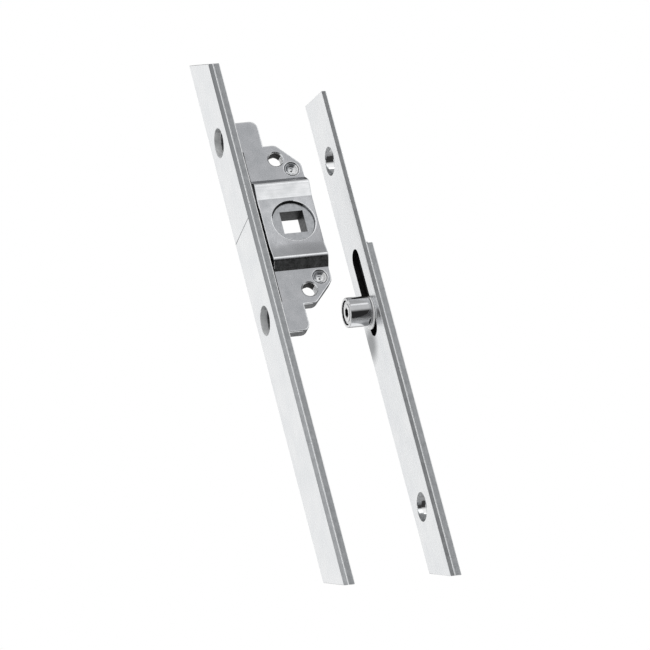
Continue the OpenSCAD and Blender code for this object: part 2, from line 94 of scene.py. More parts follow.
# Studio: a white backdrop and a soft surround of pale and dark stretches that the bright metal mirrors.
# A stretch is its angle in degrees round the part's Y axis, from the handle side upwards, and its level.
studio = {
    "backdrop": 1.0,            # what the camera sees behind the part
    "ends": 0.93,               # straight ahead of the faceplates and straight behind them
    "endFade": (0.55, 0.78),    # how far to the front or rear the ends begin and are whole
    "seam": 0.12,               # half the width over which the two sides run together
    "sashSide": (               # half of the surround behind the faceplates
        (-180, 0.55), (-162, 1.20), (-150, 1.55), (-112, 1.55), (-102, 1.00), (-93, 0.45), (-84, 0.10),
        (-76, 0.04), (-24, 0.04), (-17, 0.40), (-8, 0.90), (2, 0.98), (34, 0.96), (42, 0.72), (80, 0.62),
        (96, 0.60), (108, 0.25), (124, 0.06), (172, 0.05), (180, 0.55),
    ),
    "frameSide": (              # half in front of the faceplates
        (-180, 0.95), (-150, 0.98), (-112, 0.96), (-102, 0.80), (-93, 0.45), (-84, 0.10), (-76, 0.04),
        (-24, 0.04), (-17, 0.40), (-8, 0.90), (2, 1.00), (84, 1.00), (98, 0.55), (120, 0.60), (134, 0.95),
        (180, 0.95),
    ),
}


def drawStretches(tree, angle, stretches):
    ramp = addNode(tree, "ShaderNodeValToRGB", {"Fac": angle})
    band = ramp.color_ramp
    for turn, level in stretches[2:]:       # a new ramp has two stops already
        band.elements.new((turn + 180) / 360)
    for element, (turn, level) in zip(band.elements, stretches):
        element.position = (turn + 180) / 360
        element.color = (level, level, level, 1)
    return ramp.outputs["Color"]


def buildSurround(look):
    world = bpy.data.worlds.new("studioSurround")
    world.use_nodes = True
    bpy.context.scene.world = world
    tree = world.node_tree
    tree.nodes.clear()
    way = addNode(tree, "ShaderNodeSeparateXYZ",
                  {"Vector": addNode(tree, "ShaderNodeTexCoord").outputs["Generated"]})
    turn = addNode(tree, "ShaderNodeMath", {0: way.outputs["Z"], 1: way.outputs["X"]}, operation="ARCTAN2")
    angle = addNode(tree, "ShaderNodeMapRange",
                    {"Value": turn.outputs[0], "From Min": -math.pi, "From Max": math.pi})
    half = addNode(tree, "ShaderNodeMapRange",
                   {"Value": way.outputs["Y"], "From Min": -look["seam"], "From Max": look["seam"]},
                   interpolation_type="SMOOTHSTEP")
    sides = addNode(tree, "ShaderNodeMix",
                    {0: half.outputs[0], 6: drawStretches(tree, angle.outputs[0], look["frameSide"]),
                     7: drawStretches(tree, angle.outputs[0], look["sashSide"])}, data_type="RGBA")
    depth = addNode(tree, "ShaderNodeMath", {0: way.outputs["Y"]}, operation="ABSOLUTE")
    end = addNode(tree, "ShaderNodeMapRange",
                  {"Value": depth.outputs[0], "From Min": look["endFade"][0], "From Max": look["endFade"][1]},
                  interpolation_type="SMOOTHSTEP")
    whole = addNode(tree, "ShaderNodeMix",
                    {0: end.outputs[0], 6: sides.outputs[2], 7: [look["ends"]] * 3 + [1.0]}, data_type="RGBA")
    ray = addNode(tree, "ShaderNodeLightPath")
    seen = addNode(tree, "ShaderNodeMix",
                   {0: ray.outputs["Is Camera Ray"], 6: whole.outputs[2], 7: [look["backdrop"]] * 3 + [1.0]},
                   data_type="RGBA")
    shade = addNode(tree, "ShaderNodeBackground", {"Color": seen.outputs[2], "Strength": 1.0})
    addNode(tree, "ShaderNodeOutputWorld", {"Surface": shade.outputs[0]})


buildSurround(studio)
bpy.context.scene.view_settings.view_transform = "Standard"
bpy.context.scene.view_settings.look = "None"

# Two weak softboxes: one above the front, one on the handle side. Places and sizes are in metres.
lamps = (
    {"place": (0.6, -1.2, 1.6), "size": 0.9, "watts": 1.2},
    {"place": (1.5, 0.9, 0.9), "size": 0.7, "watts": 0.8},
)


def hangLamp(number, look):
    data = bpy.data.lights.new(f"softbox{number}", "AREA")
    data.shape, data.size, data.energy = "DISK", look["size"], look["watts"]
    lamp = bpy.data.objects.new(f"softbox{number}", data)
    lamp.location = look["place"]
    lamp.rotation_euler = Vector(look["place"]).to_track_quat("Z", "Y").to_euler()
    bpy.context.scene.collection.objects.link(lamp)


for number, look in enumerate(lamps):
    hangLamp(number, look)
print("studio lit")


# Metals: each is the real one with the finish that its making leaves; some are darker copies that paint
# shade, and brighter ones that paint highlights.
# Clouds and grain mix the tone with the worn tone, and streak is the grain's share. The grain also sets
# roughness and bump, and its size is given along X, Y and Z. A tone patch is a round patch of another tone;
# on the locking faceplate and on the dome it is painted shade.
# Grain finer than about 0.3 mm is less than a pixel here, so it is drawn as coarse as it needs to show.

# What finishes of one kind share
rolledStrip = {
    "tone": "#f0f1f2", "worn": "#e8eaec", "cloudMm": 7, "roughness": (0.24, 0.32), "metallic": 0.85,
    "grainMm": (0.6, 0.6, 26), "grainDepthMm": 0.0002, "streak": 0.3,
}
slitEdge = {
    "cloudMm": 2.0, "roughness": (0.24, 0.38),
    "grainMm": (0.5, 0.30, 0.36), "grainDepthMm": 0.006, "streak": 0.6,
}
castSkin = {
    "cloudMm": 3.2, "roughness": (0.20, 0.32),
    "grainMm": (0.34, 0.34, 0.34), "grainDepthMm": 0.006, "streak": 0.35,
}
downFacingGrain = {"cloudMm": 1.4, "grainMm": (0.8, 0.5, 0.4), "grainDepthMm": 0.010, "streak": 0.5}
darkGrain = {"grainMm": (0.4, 0.4, 0.4), "grainDepthMm": 0.004, "streak": 0.2}
blastedSkin = {"grainMm": (0.34, 0.34, 0.34), "grainDepthMm": 0.010, "streak": 0.4}
turnedWall = {"cloudMm": 4, "grainMm": (0.6, 3.0, 0.6), "grainDepthMm": 0.0004, "streak": 0.3}

finishes = {
    # bright zinc on cold-rolled strip: a soft mirror, with faint rolling lines along the bar
    "brightZincStrip": rolledStrip,
    # the same strip with a soft grey patch of painted shade below the roller, standing for the roller's dark
    # reflection and shadow there
    "shadePatchZincStrip": {
        **rolledStrip, "tonePatch": {"centre": (-5.5, 16.6, -37.5), "from": 1.5, "to": 7.5, "tone": "#8f9193"},
    },
    # the strip's slit edges: greyer and coarser, because the slitting rollers tear the last third,
    # and darker towards the upper end
    "slitFaceplateEdge": {
        **slitEdge, "tone": "#a2a4a6", "worn": "#8c8e90",
        "tonePatch": {"centre": (8, -14, 62), "from": 15, "to": 125, "tone": "#7b7d7f"},
    },
    # the locking faceplate's edges: from a thicker-oiled coil, so duller still
    "slitOiledEdge": {**slitEdge, "tone": "#818384", "worn": "#68696b"},
    # the drive rods' edges, rubbed a little by their sliding
    "slitRodEdge": {**slitEdge, "tone": "#949698", "worn": "#7c7e80"},
    # dark zinc: painted shade on slot walls, sliding faces behind the slots, the case's hollow, tenons, dome
    # front wall and bore rim, rivet seats, the follower's square top, cup floors, the roller's recess and the
    # pin's socket; a real film of dark grease on the hidden rack and its rivets
    "greaseAndShadeZinc": {
        **darkGrain, "tone": "#3c3d3e", "worn": "#2b2b2c", "cloudMm": 1.5, "roughness": (0.45, 0.60),
    },
    # black painted shade on the upper side of the screw threads: it mirrors little even at a slant
    "threadShadeBlack": {
        **darkGrain, "tone": "#161616", "worn": "#0c0c0c", "cloudMm": 1.0, "roughness": (0.50, 0.65),
        "metallic": 0.0,
    },
    # die-cast zinc alloy with satin plating: fine grit and a soft sheen
    "satinCastZinc": {**castSkin, "tone": "#a3a4a7", "worn": "#95979a"},
    # the same casting on its dome, painted a little brighter as painted light, with painted shade darkening
    # its lower part
    "litDomeCastZinc": {
        **castSkin, "tone": "#bbbcbf", "worn": "#a5a7aa",
        "tonePatch": {"centre": (0, 3, -6), "from": 4, "to": 12, "tone": "#9d9ea1"},
    },
    # brighter and smoother casting on the upper slope, the ridges, the rims and the bore's mouth: painted
    # highlight
    "highlightCastZinc": {
        "tone": "#eeeff1", "worn": "#d6d8da", "cloudMm": 4, "roughness": (0.18, 0.26),
        "grainMm": (0.34, 8, 0.34), "grainDepthMm": 0.003, "streak": 0.35,
    },
    # the casting's downward faces on the dome: darker and rougher, painted shade
    "shadedUnderCastZinc": {**downFacingGrain, "tone": "#7e7f80", "worn": "#474849", "roughness": (0.30, 0.44)},
    # the downward faces of its wings: darker still, painted shade
    "shadedWingCastZinc": {**downFacingGrain, "tone": "#5c5d5e", "worn": "#404142", "roughness": (0.34, 0.46)},
    # sintered steel of the follower, faintly pitted; also the painted shade on the rivets' upper and front
    # side
    "sinteredSteel": {
        "tone": "#a9abae", "worn": "#96989b", "cloudMm": 1.4, "roughness": (0.26, 0.40),
        "grainMm": (0.30, 0.30, 0.30), "grainDepthMm": 0.008, "streak": 0.4,
    },
    # the follower's broached square: torn lines along the spindle, painted dark as painted shade inside the
    # square
    "shadedBroachedSteel": {
        "tone": "#4e4f51", "worn": "#38393a", "cloudMm": 1.0, "roughness": (0.35, 0.50),
        "grainMm": (3.0, 0.3, 0.3), "grainDepthMm": 0.010, "streak": 0.6,
    },
    # cut threads and their rims: bright torn zinc that scatters more light than it mirrors
    "cutThread": {
        "tone": "#fafafa", "worn": "#e0e2e4", "cloudMm": 0.8, "roughness": (0.24, 0.34), "metallic": 0.4,
        "grainMm": (0.3, 0.3, 0.3), "grainDepthMm": 0.004, "streak": 0.4,
    },
    # cold-headed steel of rivets and cam bush: smooth, with burnished swirls
    "headedSteel": {
        "tone": "#eeeff0", "worn": "#c4c6c8", "cloudMm": 0.9, "roughness": (0.08, 0.16),
        "grainMm": (0.7, 0.7, 0.7), "grainDepthMm": 0.030, "streak": 0.4,
    },
    # the gear length's staked cups: blasted to an even grey, which scatters light more than it mirrors
    "blastedCup": {
        **blastedSkin, "tone": "#f2f3f3", "worn": "#dddfe0", "cloudMm": 1.5, "roughness": (0.30, 0.40),
        "metallic": 0.25,
    },
    # the upper side of the same cups: darker zinc, painted shade
    "shadedCup": {
        **blastedSkin, "tone": "#cccecf", "worn": "#b2b4b6", "cloudMm": 1.2, "roughness": (0.40, 0.52),
        "metallic": 0.3,
    },
    # ground and polished steel of roller and pin: clear reflections, faint turning lines
    "polishedTurnedSteel": {
        "tone": "#bfc0c2", "worn": "#b4b5b7", "cloudMm": 4, "roughness": (0.06, 0.11),
        "grainMm": (3.0, 0.3, 3.0), "grainDepthMm": 0.0008, "streak": 0.3,
    },
    # zinc-plated steel, barrel polished, on ring, collar and roller front: nearly white; on the rivets' rear,
    # the drive rods' rear slopes and the pin's end it is painted highlight
    "brightWasher": {
        "tone": "#fbfbfb", "worn": "#f2f3f4", "cloudMm": 2, "roughness": (0.30, 0.40), "metallic": 0.3,
        "grainMm": (0.5, 0.5, 0.5), "grainDepthMm": 0.0008, "streak": 0.3,
    },
    # chromed sleeves in the locking faceplate: a clear mirror
    "chromedSleeve": {**turnedWall, "tone": "#f4f5f6", "worn": "#eceded", "roughness": (0.04, 0.07)},
    # the same sleeves at the top of their wall, greyed as painted reflection and shade
    "shadedSleeveTop": {
        **turnedWall, "tone": "#e4e5e6", "worn": "#d8dadc", "roughness": (0.14, 0.20), "metallic": 0.2,
    },
    # and greyer still at the foot of their wall: painted shade
    "shadedSleeveFoot": {
        **turnedWall, "tone": "#b0b2b4", "worn": "#a4a6a8", "roughness": (0.12, 0.18), "metallic": 0.6,
    },
    # oil-blackened spring steel of the spring washers and the retaining washer
    "darkSpringSteel": {
        "tone": "#4c4d50", "worn": "#38393b", "cloudMm": 0.8, "roughness": (0.24, 0.36),
        "grainMm": (0.3, 0.3, 0.3), "grainDepthMm": 0.003, "streak": 0.3,
    },
}

# How the two noises of every metal are drawn, and which part of their range is used
noise = {
    "cloudDetail": 3.0, "grainDetail": 4.0, "grainRoughness": 0.6,
    "toneFrom": 0.36, "toneTo": 0.64, "roughFrom": 0.3, "roughTo": 0.7,
}


def makeMetal(name):
    look = finishes[name]
    metal = bpy.data.materials.new(name)
    metal.use_nodes = True
    tree = metal.node_tree
    tree.nodes.clear()
    place = addNode(tree, "ShaderNodeTexCoord").outputs["Object"]
    cloud = addNode(tree, "ShaderNodeTexNoise",
                    {"Vector": place, "Scale": 1 / (look["cloudMm"] * mm), "Detail": noise["cloudDetail"]})
    stretch = addNode(tree, "ShaderNodeMapping",
                      {"Vector": place, "Scale": [1 / (size * mm) for size in look["grainMm"]]})
    grain = addNode(tree, "ShaderNodeTexNoise",
                    {"Vector": stretch.outputs[0], "Scale": 1.0, "Detail": noise["grainDetail"],
                     "Roughness": noise["grainRoughness"]})
    mixed = addNode(tree, "ShaderNodeMix", {0: look["streak"], 2: cloud.outputs[0], 3: grain.outputs[0]},
                    data_type="FLOAT")
    patch = addNode(tree, "ShaderNodeMapRange",
                    {"Value": mixed.outputs[0], "From Min": noise["toneFrom"], "From Max": noise["toneTo"]})
    colour = addNode(tree, "ShaderNodeMix",
                     {0: patch.outputs[0], 6: toLinear(look["tone"]), 7: toLinear(look["worn"])},
                     data_type="RGBA")
    # a round patch of another tone: painted shade on the locking faceplate and on the dome
    if "tonePatch" in look:
        tonePatch = look["tonePatch"]
        away = addNode(tree, "ShaderNodeVectorMath", {0: place, 1: [c * mm for c in tonePatch["centre"]]},
                       operation="DISTANCE")
        patchMask = addNode(tree, "ShaderNodeMapRange",
                       {"Value": away.outputs["Value"], "From Min": tonePatch["from"] * mm,
                        "From Max": tonePatch["to"] * mm}, interpolation_type="SMOOTHSTEP")
        colour = addNode(tree, "ShaderNodeMix",
                         {0: patchMask.outputs[0], 6: toLinear(tonePatch["tone"]), 7: colour.outputs[2]},
                         data_type="RGBA")
    low, high = look["roughness"]
    rough = addNode(tree, "ShaderNodeMapRange",
                    {"Value": grain.outputs[0], "From Min": noise["roughFrom"], "From Max": noise["roughTo"],
                     "To Min": low, "To Max": high})
    bump = addNode(tree, "ShaderNodeBump",
                   {"Height": grain.outputs[0], "Strength": 1.0, "Distance": look["grainDepthMm"] * mm})
    shader = addNode(tree, "ShaderNodeBsdfPrincipled",
                     {"Base Color": colour.outputs[2], "Metallic": look.get("metallic", 1.0),
                      "Roughness": rough.outputs[0], "Normal": bump.outputs[0]})
    addNode(tree, "ShaderNodeOutputMaterial", {"Surface": shader.outputs[0]})
    return metal


metals = {name: makeMetal(name) for name in finishes}
print("metals mixed")


# How meshes are merged and their edges found, in mm and degrees
meshing = {
    "mergeMm": 0.002, "turnedMergeMm": 0.0005, "sliverMm": 0.001, "flatDeg": 0.4, "sharpDeg": 28,
    "creaseDeg": 34,
}
facing = 0.5        # a face looks along an axis where its normal has more than this share of it


def isAt(value, target, slack=0.02):        # mm
    return abs(value - target) < slack


def isIn(value, span):
    return span[0] < value < span[1]


# A piece's coats give the metal of each part of its surface, in the order of its material slots
def coatFace(face, coats, part):
    face.material_index = list(coats).index(part)


def placePiece(bm, name, coats, body, creaseDeg=meshing["creaseDeg"]):
    for face in bm.faces:
        face.smooth = True
    for edge in bm.edges:
        edge.smooth = edge.is_manifold and edge.calc_face_angle(0) < math.radians(creaseDeg)
    mesh = bpy.data.meshes.new(name)
    bm.to_mesh(mesh)
    bm.free()
    for metal in coats.values():
        mesh.materials.append(metals[metal])
    piece = bpy.data.objects.new(name, mesh)
    bpy.context.scene.collection.objects.link(piece)
    weighted = piece.modifiers.new("flatFaces", "WEIGHTED_NORMAL")
    weighted.keep_sharp = True
    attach(piece, body)
    return piece


# A CAD node's copy, merged, with chosen edges rounded and its faces given their metals
def dressNode(nodeName, coats, rounds, paint=None, after=None):
    bm = bmesh.new()
    bm.from_mesh(nodes[nodeName].data)
    bmesh.ops.remove_doubles(bm, verts=bm.verts, dist=meshing["mergeMm"] * mm)
    bmesh.ops.dissolve_limit(bm, angle_limit=math.radians(meshing["flatDeg"]), verts=bm.verts, edges=bm.edges)
    for face in bm.faces:
        face.material_index = 0
        if paint:
            coatFace(face, coats, paint(face.normal, face.calc_center_median() / mm))
    for width, segments, chosen in rounds:
        edges = [edge for edge in bm.edges
                 if edge.is_manifold and edge.calc_face_angle(0) > math.radians(meshing["sharpDeg"])
                 and all(chosen(vert.co / mm) for vert in edge.verts)]
        bmesh.ops.bevel(bm, geom=edges, offset=width * mm, offset_type="OFFSET", segments=segments,
                        profile=0.5, affect="EDGES", clamp_overlap=False, material=-1)
    bmesh.ops.dissolve_degenerate(bm, dist=meshing["sliverMm"] * mm, edges=bm.edges)
    if after:
        after(bm)
    piece = placePiece(bm, nodeName + "_dressed", coats, bodyOf[nodeName])
    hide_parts(nodeName)


# A closed outline of (radius, height) turned round an axis, as on a lathe
def turnOutline(bm, outline, centre, along, across, steps=72):
    origin, up, out = Vector(centre) * mm, Vector(along), Vector(across)
    corners = [bm.verts.new(origin + up * height * mm + out * radius * mm) for radius, height in outline]
    lines = [bm.edges.new((corners[i - 1], corners[i])) for i in range(len(corners))]
    bmesh.ops.spin(bm, geom=corners + lines, cent=origin, axis=up, dvec=(0, 0, 0), angle=math.tau,
                   steps=steps, use_merge=True, use_duplicate=False)
    bmesh.ops.remove_doubles(bm, verts=bm.verts, dist=meshing["turnedMergeMm"] * mm)
    bmesh.ops.recalc_face_normals(bm, faces=bm.faces)


# Strips: plated faces, slit edges along the sides, and walls and sliding faces behind the slots painted dark
# as painted shade.
# Slitting rounds the front corners over and leaves a burr slope along the rear ones, which is painted near
# white on the drive rods as a painted highlight. A tilt is the share of a face's normal along one axis: it
# tells walls, slopes and rounds apart.
strip = {
    "halfWidth": 8.0, "slope": 0.2, "slopeDepth": 0.08, "roundSteps": 4,
    "cornerReach": 0.4, "cornerTilt": (0.1, 0.99),
    "sideFrom": 5, "endsFrom": 38, "endHalf": 0.5,          # where a wall is an outer one and not a hole's
    "markHalf": 0.6, "markClear": 0.5, "markTilt": 0.95,    # the scribed mark, whose corners stay sharp
}
gearPlate = {
    "front": -15.0, "back": -13.5, "frontRound": 0.26, "highlightSlope": False,
    "face": "brightZincStrip", "edge": "slitFaceplateEdge",
}
gearRod = {
    "front": -13.45, "back": -11.6, "frontRound": 0.08, "highlightSlope": True,
    "face": "brightZincStrip", "edge": "slitRodEdge",
}
lockingPlate = {
    "front": 16.6, "back": 18.1, "frontRound": 0.1, "highlightSlope": False,
    # its face carries a patch of painted shade below the roller
    "face": "shadePatchZincStrip", "edge": "slitOiledEdge",
}
lockingRod = {
    "front": 18.15, "back": 20.0, "frontRound": 0.08, "highlightSlope": True,
    "face": "brightZincStrip", "edge": "slitRodEdge",
}


def paintPlate(normal, middle):
    if abs(normal.y) > facing:
        inMark = abs(normal.y) < strip["markTilt"] and abs(middle.z) < strip["markHalf"]
        return "edge" if inMark else "face"
    onSide = abs(middle.x) > strip["sideFrom"]
    onEnd = abs(middle.z) > strip["endsFrom"] and abs(middle.x) < strip["endHalf"]
    # walls of slots and holes: painted shade
    return "edge" if onSide or onEnd else "paintedShade"


def paintGearRod(normal, middle):
    return "face" if abs(normal.y) > facing else "edge"


def paintLockingRod(normal, middle):
    # the front face, seen only through the slot: painted shade
    if normal.y < -facing:
        return "paintedShade"
    return "face" if normal.y > facing else "edge"


def dressStrip(nodeName, look, paint):
    front, back, slope, halfWidth = look["front"], look["back"], strip["slope"], strip["halfWidth"]
    coats = {"face": look["face"], "edge": look["edge"], "paintedShade": "greaseAndShadeZinc", "slope": "brightWasher"}

    def atFront(p):
        return isAt(abs(p.x), halfWidth) and isAt(p.y, front) and abs(p.z) > strip["markClear"]

    def atBack(p):
        return isAt(abs(p.x), halfWidth) and isAt(p.y, back)

    def finishEdges(bm):
        corner = halfWidth - strip["cornerReach"]
        besideSlope = (back - slope - 0.01, back + 0.01)
        for side in (1, -1):
            verts = [vert for vert in bm.verts
                     if side * vert.co.x > corner * mm and isIn(vert.co.y / mm, besideSlope)]
            bmesh.ops.scale(bm, vec=(strip["slopeDepth"] / slope, 1, 1), verts=verts,
                            space=Matrix.Translation((-side * halfWidth * mm, 0, 0)))
        bm.normal_update()
        for face in bm.faces:
            onCorner = abs(face.calc_center_median().x) > corner * mm
            if onCorner and isIn(abs(face.normal.y), strip["cornerTilt"]):
                # the drive rods' rear slopes: painted highlight
                coatFace(face, coats, "slope" if look["highlightSlope"] and face.normal.y > 0 else "face")

    rounds = [(look["frontRound"], strip["roundSteps"], atFront), (slope, 1, atBack)]
    dressNode(nodeName, coats, rounds, paint, after=finishEdges)


dressStrip("faceplate_gear_length", gearPlate, paintPlate)
dressStrip("drive_rod_gear_length", gearRod, paintGearRod)
dressStrip("faceplate_locking_length", lockingPlate, paintPlate)
dressStrip("drive_rod_locking_length", lockingRod, paintLockingRod)
print("strips dressed")


# Handle screw holes and case rivets: the case, the threads and the rivets share these places.
# Painted shade lies between two angles, in degrees from the rear over the top.
screwHole = {"height": 21.5, "radius": 2.1, "paintedShade": (32, 178)}
rivetPlace = {"height": 17.85, "inset": 4.0}

# Gear case: satin casting with broken outer edges, with painted highlight on the upper slope and painted
# shade where it faces down, and painted shade in front of the dome, inside it, in the rivet seats and along
# the upper rim of the bore
case = {
    "wingFace": 1.705, "wingRound": 0.32, "wingRimTilt": (0.3, 0.98),
    "wingFront": -9.0, "tabFoot": 24.9,         # the wings' front edge stays sharp here, beside the rod
    "tabFront": -11.55,                         # in front of this the tabs' tenons stand in the cups
    "domeFace": 3.5, "domeFront": -9.5, "domeRear": 7.3, "domeRound": 0.35, "domeRimTilt": (0.2, 0.9),
    "domeFrom": 3, "domeFoot": 15.0,            # a face is the dome's above this depth, within this height
    "slope": (7.8, 12.6), "ridge": (11.6, 13.2), "ridgeFace": 4.2, "ridgeTilts": (0.1, 0.22),
    "boreRadius": 6.3, "boreRound": 0.36, "mouthFace": 1.8,
    "mouthShade": (52, 176), "mouthShadeTurn": (90, -60),     # degrees, and degrees per mm outwards
    "hollow": (2.3, 12.2, 14),                  # half depth, radius and half height of the space inside
    "seatRound": 0.25, "seatReach": 2.6, "seatWall": 2.4,
    "screwRound": 0.18, "screwReach": 3, "screwRim": (0.01, 0.2), "screwRimTilt": (0.1, 0.99),
    "wallTilt": 0.3, "flatTilt": 0.9, "underTilt": -0.55,
    "coats": {
        "casting": "satinCastZinc", "underside": "shadedUnderCastZinc", "screwWall": "cutThread",
        "paintedShade": "greaseAndShadeZinc", "ground": "highlightCastZinc", "dome": "litDomeCastZinc",
        "screwShade": "threadShadeBlack", "wingUnderside": "shadedWingCastZinc",
    },
}


def fromScrew(p):
    return math.hypot(p.y, abs(p.z) - screwHole["height"])


def fromRivet(p):
    return math.hypot(p.y - rivetPlace["inset"], abs(p.z) - rivetPlace["height"])


def fromSpindle(p):
    return math.hypot(p.y, p.z)


def wingRim(p):
    nearHole = fromScrew(p) < case["screwReach"] or fromRivet(p) < case["seatReach"]
    besideRod = p.y < case["wingFront"] and abs(p.z) < case["tabFoot"]
    besideDome = abs(p.z) <= case["domeFoot"] - 0.05
    return isAt(abs(p.x), case["wingFace"]) and not nearHole and not besideRod and not besideDome


def screwRim(p):
    return isAt(abs(p.x), case["wingFace"]) and isAt(fromScrew(p), screwHole["radius"], 0.06)


def seatRim(p):
    return isAt(abs(p.x), case["wingFace"]) and fromRivet(p) < case["seatReach"]


def domeRim(p):
    onDome = abs(p.x) > case["wingFace"] + 0.02 and abs(p.z) < case["domeFoot"]
    return onDome and (isAt(p.y, case["domeFront"]) or isAt(p.y, case["domeRear"]))


def boreRim(p):
    return abs(p.x) > case["domeFace"] and isAt(fromSpindle(p), case["boreRadius"], 0.05)


def paintCase(normal, middle):
    halfDepth, radius, halfHeight = case["hollow"]
    isWall = abs(normal.x) < case["wallTilt"]
    inDome = abs(middle.z) < case["domeFoot"]
    inHollow = abs(middle.x) < halfDepth and fromSpindle(middle) < radius and abs(middle.z) < halfHeight
    onTenon = middle.y < case["tabFront"]
    if isWall and isAt(fromSpindle(middle), case["boreRadius"], 0.1):
        return "casting"
    if isWall and fromScrew(middle) < screwHole["radius"] + 0.3:
        rise = middle.z - math.copysign(screwHole["height"], middle.z)
        turn = math.degrees(math.atan2(rise, middle.y))
        # the upper side of the screw hole's wall: painted shade
        return "screwShade" if isIn(turn, screwHole["paintedShade"]) else "screwWall"
    # the hollow, the tenons and the dome's front wall: painted shade
    if inHollow or onTenon or inDome and normal.y < -case["flatTilt"]:
        return "paintedShade"
    # the upper slope: painted highlight
    if abs(normal.x) > case["flatTilt"] and isIn(middle.z, case["slope"]):
        return "ground"
    # faces that look down: painted shade
    if normal.z < case["underTilt"]:
        return "underside" if inDome else "wingUnderside"
    # the dome: painted light, with painted shade towards its lower part
    return "dome" if inDome and abs(middle.x) > case["domeFrom"] else "casting"


# Painted highlight on ridges, rims and the bore's mouth; painted shade in the upper part of the mouth and in
# the rivet seats
def finishCase(bm):
    bm.normal_update()
    wingFace, domeFoot = case["wingFace"], case["domeFoot"]
    for face in bm.faces:
        middle, normal = face.calc_center_median() / mm, face.normal
        depth, height = abs(middle.x), abs(middle.z)
        reach = fromSpindle(middle) - case["boreRadius"]
        turn = math.degrees(math.atan2(middle.z, middle.y))
        inSeat = abs(normal.x) < facing and fromRivet(middle) < case["seatWall"]
        onScrewRim = (isIn(fromScrew(middle) - screwHole["radius"], case["screwRim"])
                      and isIn(abs(normal.x), case["screwRimTilt"]))
        onWingRim = (isIn(depth, (wingFace - case["wingRound"], wingFace)) and height > domeFoot
                     and isIn(abs(normal.x), case["wingRimTilt"]))
        inMouth = (depth > case["mouthFace"] and isIn(reach, (-0.1, case["boreRound"]))
                   and abs(normal.x) < 0.99)
        onDomeRim = (depth > wingFace - 0.3 and height < domeFoot and abs(reach) > 1
                     and isIn(abs(normal.y), case["domeRimTilt"]))
        onRidge = (isIn(height, case["ridge"]) and depth > case["ridgeFace"]
                   and abs(normal.y) < case["ridgeTilts"][0] and abs(normal.z) < case["ridgeTilts"][1])
        inShade = [end + perMm * reach for end, perMm in zip(case["mouthShade"], case["mouthShadeTurn"])]
        # rivet seats: painted shade
        if inSeat:
            coatFace(face, case["coats"], "paintedShade")
        elif onScrewRim:
            coatFace(face, case["coats"], "screwWall")
        # wing rims: painted highlight
        elif onWingRim:
            coatFace(face, case["coats"], "ground")
        # the upper part of the bore's mouth: painted shade
        elif inMouth and isIn(turn, inShade):
            coatFace(face, case["coats"], "paintedShade")
        # the bore's mouth, the dome rims and the ridges: painted highlight
        elif inMouth or onDomeRim or onRidge:
            coatFace(face, case["coats"], "ground")


caseRounds = [
    (case["wingRound"], 3, wingRim), (case["domeRound"], 3, domeRim), (case["boreRound"], 4, boreRim),
    (case["seatRound"], 3, seatRim), (case["screwRound"], 2, screwRim),
]
for nodeName in ("case_shell_front", "case_shell_back"):
    dressNode(nodeName, case["coats"], caseRounds, paintCase, after=finishCase)
print("gear case dressed")


# Follower: sintered, with a broached square painted dark as painted shade, darkest on its upper wall, and a
# small round at its faces
follower = {
    "face": 2.7, "radius": 6.25, "round": 0.06, "square": 3.6,
    "coats": {"body": "sinteredSteel", "square": "shadedBroachedSteel", "squareTop": "greaseAndShadeZinc"},
}


def followerRim(p):
    return abs(p.x) > follower["face"] and isAt(fromSpindle(p), follower["radius"], 0.05)


def paintFollower(normal, middle):
    inSquare = abs(middle.y) < follower["square"] and abs(middle.z) < follower["square"]
    # walls of the square: painted shade, darkest on the upper wall
    if inSquare and abs(normal.x) < facing:
        return "squareTop" if normal.z < -facing else "square"
    return "body"


dressNode("follower_pinion", follower["coats"], [(follower["round"], 2, followerRim)], paintFollower)

# Behind the shells: the greased rack with its rivets, and the follower's spring
hiddenMetals = {
    "rack": "greaseAndShadeZinc", "rack_rivets": "greaseAndShadeZinc", "follower_spring_washer": "darkSpringSteel",
}
for nodeName, metal in hiddenMetals.items():
    dressNode(nodeName, {"whole": metal}, [])
print("gear dressed")


# Case rivets: a rolled rim round a dished head, in the sunk seats of both shells.
# The angles run in degrees from the rear over the top: the rim has painted shade above and in front, is plain
# below, and has a painted highlight at the rear.
rivet = {
    "dish": 0.85, "shadeSide": (42, 200), "plain": (200, 290),
    "head": (       # radius and height of half the outline, from the middle of the dish outwards
        (0.02, 1.18), (0.28, 1.12), (0.52, 0.92), (0.8, 0.80), (1.05, 0.84), (1.3, 1.00), (1.5, 1.24),
        (1.64, 1.46), (1.76, 1.60), (1.92, 1.60), (2.04, 1.46), (2.08, 1.22), (1.24, 0.62),
    ),
    "coats": {"plain": "headedSteel", "highlightSide": "brightWasher", "shadeSide": "sinteredSteel"},
}


def headRivets(look):
    bm = bmesh.new()
    outline = look["head"] + tuple((radius, -height) for radius, height in reversed(look["head"]))
    for height in (rivetPlace["height"], -rivetPlace["height"]):
        turnOutline(bm, outline, (0, rivetPlace["inset"], height), (1, 0, 0), (0, 1, 0))
    for face in bm.faces:
        middle = face.calc_center_median() / mm
        rise = middle.z - math.copysign(rivetPlace["height"], middle.z)
        depth = middle.y - rivetPlace["inset"]
        turn = math.degrees(math.atan2(rise, depth)) % 360
        if math.hypot(rise, depth) <= look["dish"] or isIn(turn, look["plain"]):
            coatFace(face, look["coats"], "plain")
        else:
            # the rim's upper and front side: painted shade; its rear: painted highlight
            coatFace(face, look["coats"], "shadeSide" if isIn(turn, look["shadeSide"]) else "highlightSide")
    piece = placePiece(bm, "case_rivets_dished", look["coats"], bodyOf["case_rivets"],
                       creaseDeg=50)
    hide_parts("case_rivets")


headRivets(rivet)


